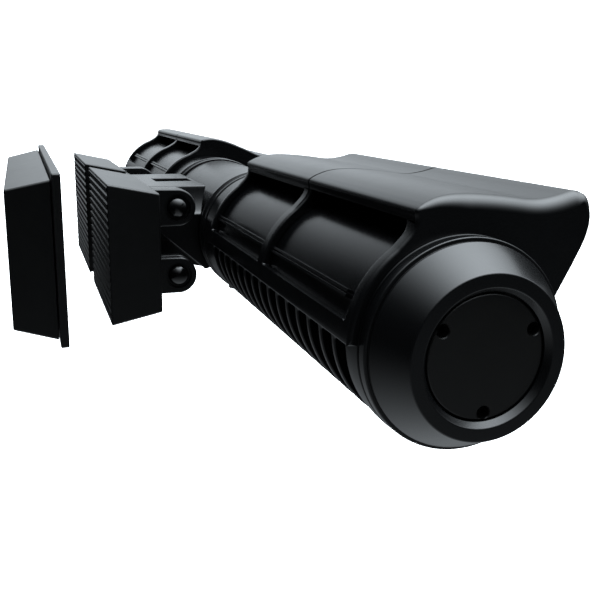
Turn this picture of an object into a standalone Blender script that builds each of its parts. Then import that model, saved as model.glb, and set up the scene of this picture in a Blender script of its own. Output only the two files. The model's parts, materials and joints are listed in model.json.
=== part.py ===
"""Cross-flow wave maker pump on a magnet mount, as separate named parts.

Frame: metres, +X along the rotor, +Y away from the tank glass, +Z up.
The origin is the centre of the wet rubber pads, on the glass face.
"""
import math

import bmesh
import bpy
from mathutils import Matrix, Vector

# Rotor line
AXIS_Y = 0.0556
AXIS_Z = -0.0009
GAP = 0.0003                     # clearance between parts that touch
ROUND = 28                       # sides of the large turned parts
MEDIUM_ROUND = 20                # sides of the parts inside the motor
SMALL_ROUND = 12                 # sides of shafts, bushes and pins

# Stations along the rotor, measured from the middle of the motor
MOTOR_END = 0.0294
LOCK_RING_END = 0.0366
CAGE_START = 0.0369
SPIGOT_END = 0.0410
SLOTS_START = 0.0497
SLOTS_END = 0.1654
CAGE_END = 0.1712
HOOD_START = 0.0522
INNER_RIB_END = 0.0549
MID_RIB = (0.1075, 0.1122)
SEAM_X = 0.1112                  # parting plane of the two hood shells
OUTER_RIB_START = 0.1674
HOOD_END = 0.1708
CAP_START = CAGE_END + GAP
CAP_SKIRT_END = 0.1739
CAP_SHOULDER = 0.1745
CAP_FACE = 0.1825
IMPELLER = (0.0446, 0.1640)

# Radii about the rotor line
TUBE_R = 0.0209
TUBE_BORE = 0.0176
SPIGOT_R = 0.0172
HOUSING_R = 0.0205
HOUSING_BORE = 0.0156
LOCK_RING_R = 0.0212
HOOD_R = 0.0230
HOOD_BORE = TUBE_R + GAP
CAP_R = 0.0210
CAP_FACE_R = 0.0159
COVER_R = 0.0120
IMPELLER_R = 0.0162
HUB_R = 0.0048
SHAFT_R = 0.0020
BUSH_BORE = 0.00225
BUSH_R = 0.0043

# Intake grille and outlet
SLOT_COUNT = 15
SLOT_WIDTH = 0.0061
SLOT_ANGLES = (176.0, 345.0)
OUTLET_ANGLES = (17.0, 72.0)
VANE_COUNT = 20
VANE_WIDTH = 0.0018
BLADE_COUNT = 8

# Cages as aimed: nose up on the near side, nose down on the far side
NEAR_TILT = math.radians(5.3)
FAR_TILT = math.radians(-11.0)

# Hood cross-section, (y, z) about the rotor line
BAND_ANGLES = (172.5, 162.0)     # lower rail behind the tube
SHOULDER_ANGLE = 120.0           # where the ribs leave the round and rise
FASCIA_Y = -0.0078
PLATE_UNDERSIDE = 0.0244
WEB = (0.0017, 0.0042)           # wall under the top plate, between pocket and duct
SILL_Z = 0.0089
LINTEL_Z = 0.0233
RIB_RISE = [(-0.0095, 0.0216), (-0.0083, 0.0230)]
TOP_CROWN = [(FASCIA_Y, 0.0267), (-0.0052, 0.0277), (-0.0025, 0.0283), (0.0010, 0.0284), (0.0050, 0.0280),
             (0.0097, 0.0272)]
TOP_DIP = [(0.0140, 0.0263), (0.0175, 0.0255), (0.0205, 0.0252), (0.0240, 0.0256)]
NOSE = [(0.0277, 0.0261), (0.0294, 0.0256), (0.0303, 0.0243), (0.0306, 0.0225), (0.0303, 0.0200),
        (0.0291, 0.0163), (0.0263, 0.0116)]
NOSE_FOOT_ANGLE = 14.3
DUCT_ROOF = [(0.0097, 0.0244), (0.0164, 0.0228), (0.0205, 0.0226), (0.0250, LINTEL_Z)]

# Wet side of the magnet mount
BLOCK_X = (0.0088, 0.0702)
BLOCK_Y = (0.0014, 0.0150)
BLOCK_HALF_Z = (0.0206, 0.0176)  # at the pad, at the back
PAD_BACK = 0.0011
PAD_GROOVE = 0.0006
PAD_RIBS = 17
MAGNET_BACK = 0.0122
EAR_X = (0.0423, 0.0460)
EAR_LEVELS = (("upper", 0.0103), ("lower", -0.0117))
EAR_TIP_Y = 0.0302
EAR_HALF = 0.0059
EAR_CENTRE_Y = EAR_TIP_Y - EAR_HALF
LUG_X = (0.0382, 0.0420)
BEAM_Y = (0.0156, 0.0186)
SADDLE_TOP = 0.0149
BEAM_Z = (-0.0165, SADDLE_TOP)
SADDLE_HALF_X = (0.0235, 0.0275) # at the top, and from the flare's foot down
SADDLE_CORE_X = 0.0225           # half width of the deeper part under the flares
FLARE_Z = 0.0055                 # foot of the sloping sides
SADDLE_R = HOUSING_R + GAP
SADDLE_WRAP = (158.0, 217.0)     # where the saddle hugs the motor
ARM_SLOT_X = (-0.0060, 0.0060)
ARM_SLOT_Y = (0.0240, 0.0340)
DAMPER_HOLE_R = 0.0024
POCKET_R = 0.0042
POCKET_DEPTH = 0.0012

# Dry side, across the glass
GLASS = 0.0122
FLANGE_X = 0.0723
FLANGE_Z = 0.0247
FLANGE_THICKNESS = 0.0024
DRY_BACK_Y = -0.0272
DRY_HALF_X = (0.0702, 0.0668)    # at the flange, at the outer face
DRY_HALF_Z = (0.0228, 0.0199)
DRY_DROP = 0.0008                # the dry side sits this much lower than the wet side


# Shapes


def polar(radius, degrees):
    angle = math.radians(degrees)
    return (radius * math.cos(angle), radius * math.sin(angle))


def arc(radius, start, end, step=360.0 / ROUND):
    """Points on a circle about the rotor line, both ends included."""
    count = max(1, round(abs(end - start) / step))
    return [polar(radius, start + (end - start) * i / count) for i in range(count + 1)]


def shifted(outline, dy=0.0, dz=0.0):
    return [(y + dy, z + dz) for y, z in outline]


def turned(profile, segments=ROUND):
    """Solid of revolution about X from a loop of (x, r) points; r = 0 lies on the axis."""
    bm = bmesh.new()
    rings = []
    for x, r in profile:
        if r == 0.0:
            rings.append([bm.verts.new((x, 0.0, 0.0))])
            continue
        angles = [2.0 * math.pi * i / segments for i in range(segments)]
        rings.append([bm.verts.new((x, r * math.cos(a), r * math.sin(a))) for a in angles])
    for ring, following in zip(rings, rings[1:] + rings[:1]):
        if len(ring) == 1 and len(following) == 1:
            continue
        for i in range(segments):
            corners = [ring[i % len(ring)], ring[(i + 1) % len(ring)],
                       following[(i + 1) % len(following)], following[i % len(following)]]
            bm.faces.new(list(dict.fromkeys(corners)))
    return bm


def tube(inner, outer, x, segments=ROUND):
    return turned([(x[0], inner), (x[0], outer), (x[1], outer), (x[1], inner)], segments)


def rod(radius, x, segments=SMALL_ROUND):
    return turned([(x[0], 0.0), (x[0], radius), (x[1], radius), (x[1], 0.0)], segments)


def swept(points, vector):
    """Flat outline of 3-D points, extruded by a vector."""
    bm = bmesh.new()
    face = bm.faces.new([bm.verts.new(point) for point in points])
    grown = bmesh.ops.extrude_face_region(bm, geom=[face])["geom"]
    moved = [part for part in grown if isinstance(part, bmesh.types.BMVert)]
    bmesh.ops.translate(bm, verts=moved, vec=vector)
    return bm


def prism(outline, x):
    """Outline in (y, z), extruded along X between two stations."""
    return swept([(x[0], y, z) for y, z in outline], (x[1] - x[0], 0.0, 0.0))


def ring_sector(inner, outer, angles, x):
    return prism(arc(inner, *angles) + arc(outer, angles[1], angles[0]), x)


def block(x, y, z):
    """Box between the two limits given for each axis."""
    outline = [(y[0], z[0]), (y[1], z[0]), (y[1], z[1]), (y[0], z[1])]
    return prism(outline, x)


def tapered_block(xs, ys, half_zs, bevel):
    """Block whose section changes along Y, with its side and far edges rounded.

    xs and half_zs each hold the section at ys[0], then the section at ys[1].
    """
    bm = bmesh.new()
    rings = []
    for y, x, half in zip(ys, xs, half_zs):
        corners = [(x[0], -half), (x[1], -half), (x[1], half), (x[0], half)]
        rings.append([bm.verts.new((cx, y, cz)) for cx, cz in corners])
    front = bm.faces.new(rings[0])
    bm.faces.new(rings[1])
    for i in range(4):
        bm.faces.new((rings[0][i], rings[0][(i + 1) % 4], rings[1][(i + 1) % 4], rings[1][i]))
    edges = [edge for edge in bm.edges if edge not in set(front.edges)]
    bmesh.ops.bevel(bm, geom=edges, offset=bevel, segments=2, affect='EDGES', profile=0.5)
    return bm


def turn_shape(bm, degrees, axis):
    bmesh.ops.transform(bm, matrix=Matrix.Rotation(math.radians(degrees), 4, axis), verts=bm.verts)
    return bm


def move_shape(bm, offset):
    bmesh.ops.translate(bm, vec=offset, verts=bm.verts)
    return bm


def merge(parts):
    """One shape holding several that stay apart."""
    whole = bmesh.new()
    for part in parts:
        scratch = bpy.data.meshes.new("scratch")
        part.to_mesh(scratch)
        part.free()
        whole.from_mesh(scratch)
        bpy.data.meshes.remove(scratch)
    return whole


# Objects


def clear_scene():
    for obj in list(bpy.data.objects):
        bpy.data.objects.remove(obj)


def finish(name, colour, roughness, metallic=0.0):
    made = bpy.data.materials.new(name)
    made.use_nodes = True
    shader = made.node_tree.nodes["Principled BSDF"]
    shader.inputs["Base Color"].default_value = (*colour, 1.0)
    shader.inputs["Roughness"].default_value = roughness
    shader.inputs["Metallic"].default_value = metallic
    return made


def add(name, bm, look, parent=None, side=1):
    """Turns a shape into an object; side -1 mirrors it to the far half of the pump."""
    if side < 0:
        bmesh.ops.transform(bm, matrix=Matrix.Scale(-1.0, 4, (1.0, 0.0, 0.0)), verts=bm.verts)
    bmesh.ops.recalc_face_normals(bm, faces=bm.faces)
    mesh = bpy.data.meshes.new(name)
    bm.to_mesh(mesh)
    bm.free()
    mesh.shade_smooth()
    mesh.set_sharp_from_angle(angle=math.radians(25.0))
    mesh.materials.append(look)
    obj = bpy.data.objects.new(name, mesh)
    bpy.context.collection.objects.link(obj)
    obj.parent = parent
    return obj


def carve(obj, bm, operation='DIFFERENCE', side=1):
    """Boolean of an object with a shape given in the object's own frame."""
    tool = add(obj.name + ".tool", bm, obj.data.materials[0], obj.parent, side)
    tool.hide_render = True
    tool.display_type = 'WIRE'
    step = obj.modifiers.new("carve", 'BOOLEAN')
    step.operation = operation
    step.object = tool


def pivot(name, tilt=0.0):
    """Empty on the rotor line that carries one body."""
    empty = bpy.data.objects.new(name, None)
    bpy.context.collection.objects.link(empty)
    empty.location = (0.0, AXIS_Y, AXIS_Z)
    empty.rotation_euler = (tilt, 0.0, 0.0)
    return empty


# Motor and rotor


def make_motor(axis, looks):
    half = [(MOTOR_END, HOUSING_R), (MOTOR_END, SPIGOT_R), (SPIGOT_END, SPIGOT_R),
            (SPIGOT_END, HOUSING_BORE)]
    mirrored = [(-x, r) for x, r in reversed(half)]
    add("motor_housing", turned(mirrored + half), looks["shell"], axis)
    add("stator", tube(0.0109, 0.0152, (-0.0200, 0.0200), MEDIUM_ROUND), looks["copper"], axis)
    add("rotor_can", tube(0.0096, 0.0105, (-0.0235, 0.0235), MEDIUM_ROUND), looks["shell"], axis)
    plate_x = (0.0240, 0.0270)
    for side, word in ((1, "near"), (-1, "far")):
        plate = tube(BUSH_R + GAP, HOUSING_BORE - GAP, plate_x, MEDIUM_ROUND)
        add(f"{word}_motor_end_plate", plate, looks["shell"], axis, side)
        bush = tube(BUSH_BORE, BUSH_R, plate_x, SMALL_ROUND)
        add(f"{word}_motor_bush", bush, looks["ceramic"], axis, side)
    make_gland(axis, looks)


def make_gland(axis, looks):
    """Cable inlet under the motor, pointing down."""
    bore = 0.0022
    profile = [(0.0, bore), (0.0, 0.0052), (0.0020, 0.0052), (0.0024, 0.0040), (0.0060, 0.0034),
               (0.0060, bore)]
    gland = turn_shape(turned(profile, SMALL_ROUND), 90.0, 'Y')
    add("cable_gland", move_shape(gland, (0.0, 0.0, -HOUSING_R - GAP)), looks["rubber"], axis)


def blade_outline():
    """Pinwheel of curved blades round a hub, seen along the rotor."""
    pitch = 360.0 / BLADE_COUNT
    half_root, half_tip, sweep = 9.0, 2.2, 24.0
    middle_r = 0.5 * (HUB_R + IMPELLER_R)
    outline = []
    for i in range(BLADE_COUNT):
        base = i * pitch
        outline.append(polar(HUB_R, base - half_root))
        outline.append(polar(middle_r, base - 3.2 + 0.35 * sweep))
        outline.append(polar(IMPELLER_R, base - half_tip + sweep))
        outline.append(polar(IMPELLER_R, base + half_tip + sweep))
        outline.append(polar(middle_r, base + 3.2 + 0.35 * sweep))
        outline.append(polar(HUB_R, base + half_root))
    return outline


def make_rotor(axis, looks):
    shaft_end = 0.1755
    add("drive_shaft", rod(SHAFT_R, (-shaft_end, shaft_end)), looks["ceramic"], axis)
    magnet = tube(SHAFT_R + GAP, 0.0090, (-0.0215, 0.0215), MEDIUM_ROUND)
    add("rotor_magnet", magnet, looks["magnet"], axis)
    for side, word in ((1, "near"), (-1, "far")):
        impeller = add(f"{word}_impeller", prism(blade_outline(), IMPELLER), looks["impeller"], axis, side)
        for station in (IMPELLER[0] - 0.0001, IMPELLER[1] - 0.0013):
            disc = rod(IMPELLER_R + 0.0001, (station, station + 0.0014), MEDIUM_ROUND)
            carve(impeller, disc, 'UNION', side)
        bore = rod(BUSH_BORE, (0.03, 0.18))
        carve(impeller, bore, 'DIFFERENCE', side)
        coupling = tube(SHAFT_R + GAP, 0.0060, (0.0275, IMPELLER[0] - 0.0005), SMALL_ROUND)
        add(f"{word}_coupling", coupling, looks["rubber"], axis, side)


# Cages


def slot_cutters():
    pitch = (SLOTS_END - SLOTS_START) / SLOT_COUNT
    for i in range(SLOT_COUNT):
        middle = SLOTS_START + pitch * (i + 0.5)
        x = (middle - SLOT_WIDTH / 2.0, middle + SLOT_WIDTH / 2.0)
        yield ring_sector(TUBE_BORE - 0.0020, TUBE_R + 0.0020, SLOT_ANGLES, x)


def make_cage_tube(word, axis, side, looks):
    cage = add(f"{word}_cage", tube(TUBE_BORE, TUBE_R, (CAGE_START, CAGE_END)), looks["shell"], axis, side)
    carve(cage, merge(slot_cutters()), 'DIFFERENCE', side)
    duct_x = (INNER_RIB_END, OUTER_RIB_START)
    mouth = ring_sector(TUBE_BORE - 0.0015, TUBE_R + 0.0015, OUTLET_ANGLES, duct_x)
    carve(cage, mouth, 'DIFFERENCE', side)


def hood_outline():
    """C-shaped section that hugs the tube: round rail, rising rib, crowned plate, nose and front wall."""
    rail = arc(HOOD_R, BAND_ANGLES[0], SHOULDER_ANGLE)
    fascia = [(FASCIA_Y, PLATE_UNDERSIDE)]
    foot = [polar(HOOD_R, NOSE_FOOT_ANGLE)]
    inner = arc(HOOD_BORE, NOSE_FOOT_ANGLE, BAND_ANGLES[0])
    return rail + RIB_RISE + fascia + TOP_CROWN + TOP_DIP + NOSE + foot + inner


def window_outline():
    """Pocket between two ribs, from the lower rail up to the top plate."""
    rail = BAND_ANGLES[1]
    return [polar(0.0190, rail), polar(0.0400, rail), (-0.0400, PLATE_UNDERSIDE),
            (WEB[0], PLATE_UNDERSIDE), (WEB[0], 0.0180)]


def duct_outline():
    """Outlet passage, from the tube's mouth to the open front."""
    reach = 0.0400
    return [(0.0140, SILL_Z), (WEB[1], 0.0180), (WEB[1], PLATE_UNDERSIDE), *DUCT_ROOF,
            (reach, LINTEL_Z), (reach, SILL_Z)]


def make_hood(word, axis, side, looks):
    """Two shells that meet at the middle rib, each with one window and half the outlet passage."""
    outer = ("outer_hood", (SEAM_X + GAP / 2.0, HOOD_END), (MID_RIB[1], OUTER_RIB_START))
    inner = ("inner_hood", (HOOD_START, SEAM_X - GAP / 2.0), (INNER_RIB_END, MID_RIB[0]))
    for part, shell_x, window_x in (outer, inner):
        hood = add(f"{word}_{part}", prism(hood_outline(), shell_x), looks["hood"], axis, side)
        carve(hood, prism(window_outline(), window_x), 'DIFFERENCE', side)
        carve(hood, prism(duct_outline(), (INNER_RIB_END, OUTER_RIB_START)), 'DIFFERENCE', side)


def make_vane_guard(word, axis, side, looks):
    """Comb of upright vanes across the outlet."""
    inset = 0.0016
    depth = 0.0034
    low, high = SILL_Z + GAP, LINTEL_Z - GAP
    front = [(0.0247 - inset, low), (0.0284 - inset, 0.0160), (0.0300 - inset, high)]
    back = [(y - depth, z) for y, z in reversed(front)]
    x = (INNER_RIB_END + GAP, OUTER_RIB_START - GAP)
    guard = add(f"{word}_vane_guard", prism(front + back, x), looks["shell"], axis, side)
    pitch = (x[1] - x[0] - VANE_WIDTH) / (VANE_COUNT - 1)
    gaps = []
    for i in range(VANE_COUNT - 1):
        start = x[0] + VANE_WIDTH + i * pitch
        gap_x = (start, start + pitch - VANE_WIDTH)
        gaps.append(block(gap_x, (0.0150, 0.0350), (low + 0.0018, high - 0.0018)))
    carve(guard, merge(gaps), 'DIFFERENCE', side)


def make_lock_ring(word, axis, side, looks):
    x = (MOTOR_END + GAP, LOCK_RING_END)
    add(f"{word}_lock_ring", tube(SPIGOT_R + GAP, LOCK_RING_R, x), looks["shell"], axis, side)


def make_cap(word, axis, side, looks):
    spigot_start = 0.1662
    seat = CAP_FACE - 0.0040
    profile = [(spigot_start, SPIGOT_R), (CAP_START, SPIGOT_R), (CAP_START, CAP_R), (CAP_SKIRT_END, CAP_R),
               (CAP_SHOULDER, CAP_R - 0.0008), (CAP_FACE, CAP_FACE_R), (CAP_FACE, COVER_R + 0.0013),
               (CAP_FACE - 0.0013, COVER_R + GAP), (seat, COVER_R + GAP), (seat, COVER_R - 0.0022),
               (CAP_SHOULDER - 0.0010, SPIGOT_R - 0.0022), (spigot_start, SPIGOT_R - 0.0022)]
    add(f"{word}_end_cap", turned(profile), looks["shell"], axis, side)
    make_bearing_cover(word, axis, side, looks, seat + GAP)
    bush = tube(BUSH_BORE, BUSH_R, (0.1712, 0.1758), SMALL_ROUND)
    add(f"{word}_end_bush", bush, looks["ceramic"], axis, side)


def make_bearing_cover(word, axis, side, looks, seat):
    """Disc that closes the cap and carries the end bush in a boss."""
    face = CAP_FACE - 0.0013
    boss_r = 0.0064
    well = BUSH_R + GAP
    profile = [(face, 0.0), (face, COVER_R), (seat, COVER_R), (seat, boss_r), (0.1705, boss_r),
               (0.1705, well), (0.1761, well), (0.1761, 0.0)]
    cover = add(f"{word}_bearing_cover", turned(profile, MEDIUM_ROUND), looks["cover"], axis, side)
    holes = []
    for degrees in (26.0, 148.0, 271.0):
        y, z = polar(0.0104, degrees)
        hole = rod(0.0012, (face - 0.0010, face + 0.0020), 10)
        holes.append(move_shape(hole, (0.0, y, z)))
    carve(cover, merge(holes), 'DIFFERENCE', side)


# Magnet mount


def ear_outline(root_y, height):
    """D-shaped plate seen along X, from its root to its round tip."""
    tip = shifted(arc(EAR_HALF, -90.0, 90.0, 22.5), EAR_CENTRE_Y, height)
    return [(root_y, height + EAR_HALF), (root_y, height - EAR_HALF)] + tip


def ear_hole(radius, x, height):
    return move_shape(rod(radius, x), (0.0, EAR_CENTRE_Y, height))


def flare_cutter():
    """Wedge that leaves the side of the saddle sloping out from its top edge."""
    top, foot = SADDLE_HALF_X
    slope = (foot - top) / (SADDLE_TOP - FLARE_Z)
    reach = 0.0050
    outline = [(top - slope * reach, SADDLE_TOP + reach), (foot, FLARE_Z), (foot + reach, FLARE_Z),
               (foot + reach, SADDLE_TOP + reach)]
    return swept([(x, 0.0100, z) for x, z in outline], (0.0, 0.0400, 0.0))


def make_cradle(looks):
    """Saddle behind the motor on a beam whose lugs hold the dampers."""
    root = BEAM_Y[0]
    wrap = shifted(arc(SADDLE_R, *SADDLE_WRAP), AXIS_Y, AXIS_Z)
    top = [(root, SADDLE_TOP), (0.0384, SADDLE_TOP)]
    under = [(0.0370, -0.0140), (0.0215, -0.0005), (root, -0.0005)]
    saddle = prism(top + wrap + under, (-SADDLE_HALF_X[1], SADDLE_HALF_X[1]))
    cradle = add("motor_cradle", saddle, looks["shell"])
    core = [(root, 0.0100), (wrap[0][0], 0.0060), *wrap[1:-1], (0.0372, -0.0140), (0.0215, -0.0110),
            (root, -0.0110)]
    carve(cradle, prism(core, (-SADDLE_CORE_X, SADDLE_CORE_X)), 'UNION')
    for side in (1, -1):
        carve(cradle, flare_cutter(), 'DIFFERENCE', side)
    carve(cradle, block(ARM_SLOT_X, ARM_SLOT_Y, (-0.0300, 0.0300)))
    carve(cradle, block((-LUG_X[1], LUG_X[1]), BEAM_Y, BEAM_Z), 'UNION')
    for side in (1, -1):
        for level, height in EAR_LEVELS:
            carve(cradle, prism(ear_outline(root + 0.0010, height), LUG_X), 'UNION', side)
            carve(cradle, ear_hole(DAMPER_HOLE_R, (0.0350, 0.0450), height), 'DIFFERENCE', side)
    head = [(0.0, 0.0), (0.0, 0.0030), (0.0014, 0.0026), (0.0018, 0.0)]
    for level, height in (("upper", 0.0055), ("lower", -0.0045)):
        screw = turn_shape(turned(head, SMALL_ROUND), -90.0, 'Z')
        screw = move_shape(screw, (0.0, BEAM_Y[0] - GAP, height))
        add(f"{level}_cradle_screw", screw, looks["steel"])


def make_damper(name, side, height, looks):
    """Rubber pin that joins an ear to a lug, with a domed head in the ear's pocket."""
    seat = EAR_X[1] - POCKET_DEPTH + GAP
    tail = LUG_X[0] - GAP
    profile = [(tail - 0.0020, 0.0), (tail - 0.0016, 0.0026), (tail, 0.0030), (tail, 0.0021),
               (seat, 0.0021), (seat, 0.0033), (seat + 0.0013, 0.0029), (seat + 0.0022, 0.0017),
               (seat + 0.0026, 0.0)]
    pin = move_shape(turned(profile, SMALL_ROUND), (0.0, EAR_CENTRE_Y, height))
    add(name, pin, looks["rubber"], side=side)


def make_magnet_case(word, side, looks):
    """Wet magnet housing with two ears at its back."""
    xs = (BLOCK_X, (BLOCK_X[0] + 0.0006, BLOCK_X[1] - 0.0006))
    name = f"{word}_magnet_case"
    case = add(name, tapered_block(xs, BLOCK_Y, BLOCK_HALF_Z, 0.0006), looks["case"], side=side)
    magnet = block((0.0110, 0.0660), (BLOCK_Y[0] - 0.0010, MAGNET_BACK + GAP), (-0.0150, 0.0150))
    carve(case, magnet, 'DIFFERENCE', side)
    for level, height in EAR_LEVELS:
        carve(case, prism(ear_outline(BLOCK_Y[1] - 0.0010, height), EAR_X), 'UNION', side)
        carve(case, ear_hole(DAMPER_HOLE_R, (0.0400, 0.0500), height), 'DIFFERENCE', side)
        pocket = ear_hole(POCKET_R, (EAR_X[1] - POCKET_DEPTH, 0.0500), height)
        carve(case, pocket, 'DIFFERENCE', side)
    bar = block((0.0113, 0.0657), (BLOCK_Y[0], MAGNET_BACK), (-0.0147, 0.0147))
    add(f"{word}_wet_magnet", bar, looks["magnet"], side=side)
    for level, height in EAR_LEVELS:
        make_damper(f"{word}_{level}_damper", side, height, looks)


def make_pad(word, side, looks):
    """Rubber pad with flat-topped ribs along X against the glass."""
    half = BLOCK_HALF_Z[0] - 0.0003
    pitch = 2.0 * half / PAD_RIBS
    outline = []
    for i in range(PAD_RIBS):
        foot = -half + i * pitch
        outline += [(PAD_GROOVE, foot + 0.10 * pitch), (0.0, foot + 0.28 * pitch),
                    (0.0, foot + 0.72 * pitch), (PAD_GROOVE, foot + 0.90 * pitch)]
    outline += [(PAD_BACK, half), (PAD_BACK, -half)]
    add(f"{word}_pad", prism(outline, (BLOCK_X[0] + 0.0003, BLOCK_X[1] - 0.0003)), looks["rubber"], side=side)


def make_dry_side(looks):
    """Magnet holder that clamps the pump from outside the glass."""
    front = -GLASS
    back = front - FLANGE_THICKNESS
    flange = block((-FLANGE_X, FLANGE_X), (back, front), (-FLANGE_Z - DRY_DROP, FLANGE_Z - DRY_DROP))
    upright = [edge for edge in flange.edges if abs(edge.verts[0].co.y - edge.verts[1].co.y) > 0.001]
    bmesh.ops.bevel(flange, geom=upright, offset=0.0006, segments=2, affect='EDGES', profile=0.5)
    add("dry_flange", flange, looks["rubber"])
    xs = tuple((-half, half) for half in DRY_HALF_X)
    shell = tapered_block(xs, (back - GAP, DRY_BACK_Y), DRY_HALF_Z, 0.0006)
    case = add("dry_magnet_case", move_shape(shell, (0.0, 0.0, -DRY_DROP)), looks["case"])
    for side, word in ((1, "near"), (-1, "far")):
        pocket = block((0.0060, 0.0640), (-0.0245, 0.0), (-0.0160, 0.0160))
        carve(case, pocket, 'DIFFERENCE', side)
        bar = block((0.0063, 0.0637), (-0.0242, back - GAP), (-0.0157, 0.0157))
        add(f"{word}_dry_magnet", bar, looks["magnet"], side=side)


def make_looks():
    return {
        "shell": finish("shell_plastic", (0.012, 0.013, 0.015), 0.34),
        "hood": finish("hood_plastic", (0.014, 0.015, 0.017), 0.30),
        "cover": finish("cover_plastic", (0.012, 0.013, 0.014), 0.40),
        "case": finish("case_plastic", (0.012, 0.012, 0.013), 0.42),
        "impeller": finish("impeller_plastic", (0.030, 0.032, 0.036), 0.45),
        "rubber": finish("black_rubber", (0.016, 0.016, 0.017), 0.60),
        "magnet": finish("nickel_magnet", (0.420, 0.420, 0.430), 0.30, 1.0),
        "copper": finish("copper_winding", (0.550, 0.250, 0.120), 0.40, 1.0),
        "steel": finish("stainless_steel", (0.500, 0.500, 0.510), 0.28, 1.0),
        "ceramic": finish("white_ceramic", (0.800, 0.790, 0.760), 0.25),
    }


def build():
    clear_scene()
    looks = make_looks()
    motor_axis = pivot("motor_axis")
    make_motor(motor_axis, looks)
    make_rotor(pivot("rotor_axis"), looks)
    for word, side, tilt in (("near", 1, NEAR_TILT), ("far", -1, FAR_TILT)):
        cage_axis = pivot(f"{word}_cage_axis", tilt)
        make_cage_tube(word, cage_axis, side, looks)
        make_hood(word, cage_axis, side, looks)
        make_vane_guard(word, cage_axis, side, looks)
        make_lock_ring(word, cage_axis, side, looks)
        make_cap(word, pivot(f"{word}_cap_axis"), side, looks)
        make_magnet_case(word, side, looks)
        make_pad(word, side, looks)
    make_cradle(looks)
    make_dry_side(looks)


build()
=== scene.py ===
"""Looks of the wave maker pump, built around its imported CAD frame."""
import json
import math

import bmesh
import bpy
from mathutils import Matrix, Vector


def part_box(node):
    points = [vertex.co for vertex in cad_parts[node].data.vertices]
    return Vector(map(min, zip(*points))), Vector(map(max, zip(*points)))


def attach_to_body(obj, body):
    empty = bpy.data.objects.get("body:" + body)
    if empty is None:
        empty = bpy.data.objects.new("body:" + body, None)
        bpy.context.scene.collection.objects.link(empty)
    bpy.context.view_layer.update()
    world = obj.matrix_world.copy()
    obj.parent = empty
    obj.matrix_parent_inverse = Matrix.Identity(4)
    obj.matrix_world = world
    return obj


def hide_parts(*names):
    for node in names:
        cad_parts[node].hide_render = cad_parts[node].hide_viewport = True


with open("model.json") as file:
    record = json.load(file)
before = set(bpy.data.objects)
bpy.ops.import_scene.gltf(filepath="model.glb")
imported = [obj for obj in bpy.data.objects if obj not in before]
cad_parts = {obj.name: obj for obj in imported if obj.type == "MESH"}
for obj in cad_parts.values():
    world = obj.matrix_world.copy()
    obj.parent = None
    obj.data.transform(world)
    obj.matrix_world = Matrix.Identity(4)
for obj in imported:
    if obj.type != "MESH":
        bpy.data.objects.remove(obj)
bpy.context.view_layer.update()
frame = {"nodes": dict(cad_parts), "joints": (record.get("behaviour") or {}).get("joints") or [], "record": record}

# Rotor line, from the rotor's joint
AXIS = Vector(next(j for j in frame["joints"] if j["name"] == "rotor_spin")["pos_m"])
AXIS_Y, AXIS_Z = AXIS.y, AXIS.z
GAP = 0.0003
SEAM_X = (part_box("near_inner_hood")[1].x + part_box("near_outer_hood")[0].x) / 2
TURN = 120                        # sides of the large turned pieces
OVERLAP = 0.0001                  # small overlap, or the play of a pad in its pocket

# Stations along the rotor and radii about it
MOTOR_END = 0.0294
LOCK_RING = (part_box("near_lock_ring")[0].x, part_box("near_lock_ring")[1].x)
SPIGOT_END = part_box("motor_housing")[1].x
CAGE = (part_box("near_cage")[0].x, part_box("near_cage")[1].x)
HOOD = (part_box("near_inner_hood")[0].x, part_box("near_outer_hood")[1].x)
CAP_START = CAGE[1] + GAP
CAP_SKIRT_END = 0.1739
CAP_SHOULDER = 0.1745
CAP_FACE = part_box("near_end_cap")[1].x
SLOTS = (0.0497, 0.1654)
INNER_RIB_END = 0.0549
MID_RIB = (0.1075, 0.1122)
OUTER_RIB_START = 0.1674
TUBE_R = 0.0209
TUBE_BORE = 0.0176
SPIGOT_R = 0.0172
HOUSING_R = 0.0205
HOUSING_BORE = 0.0156
LOCK_RING_R = 0.0212
HOOD_R = 0.0230
HOOD_BORE = TUBE_R - OVERLAP      # the hood's foot is seated on the tube, so no light gets between them
CAP_R = 0.0210
CAP_FACE_R = 0.0159
COVER_R = 0.0120
COVER_HOLES = (26, 148, 271)      # degrees about the rotor line
COVER_HOLE_R = 0.0013
COVER_HOLE_PITCH_R = 0.0107

# Cable gland, (distance from the motor, radius)
GLAND_BORE = 0.0022
GLAND = [(0, GLAND_BORE), (0, 0.0052), (0.0018, 0.0052), (0.0026, 0.0041), (0.0060, 0.0034),
         (0.0060, GLAND_BORE)]

# Intake slots and outlet
SLOT_COUNT = 15
SLOT_WIDTH = 0.0061
SLOT_CORNER = 0.0009
SLOT_ANGLES = (176.0, 345.0)
OUTLET_ANGLES = (17.0, 72.0)
TRIM_ANGLES = ((148.1, 149.7), (150.6, 152.4))
TRIM_HEIGHT = 0.0012
TRIM_STOP = 0.0050                # the outer trim ends this far before the outer rib
VANE_COUNT = 20
VANE_WIDTH = 0.0018
VANE_DEPTH = 0.0034
GUARD_FRAME = 0.0018
TILT = {1: math.radians(5.3), -1: math.radians(-11.0)}

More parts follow.
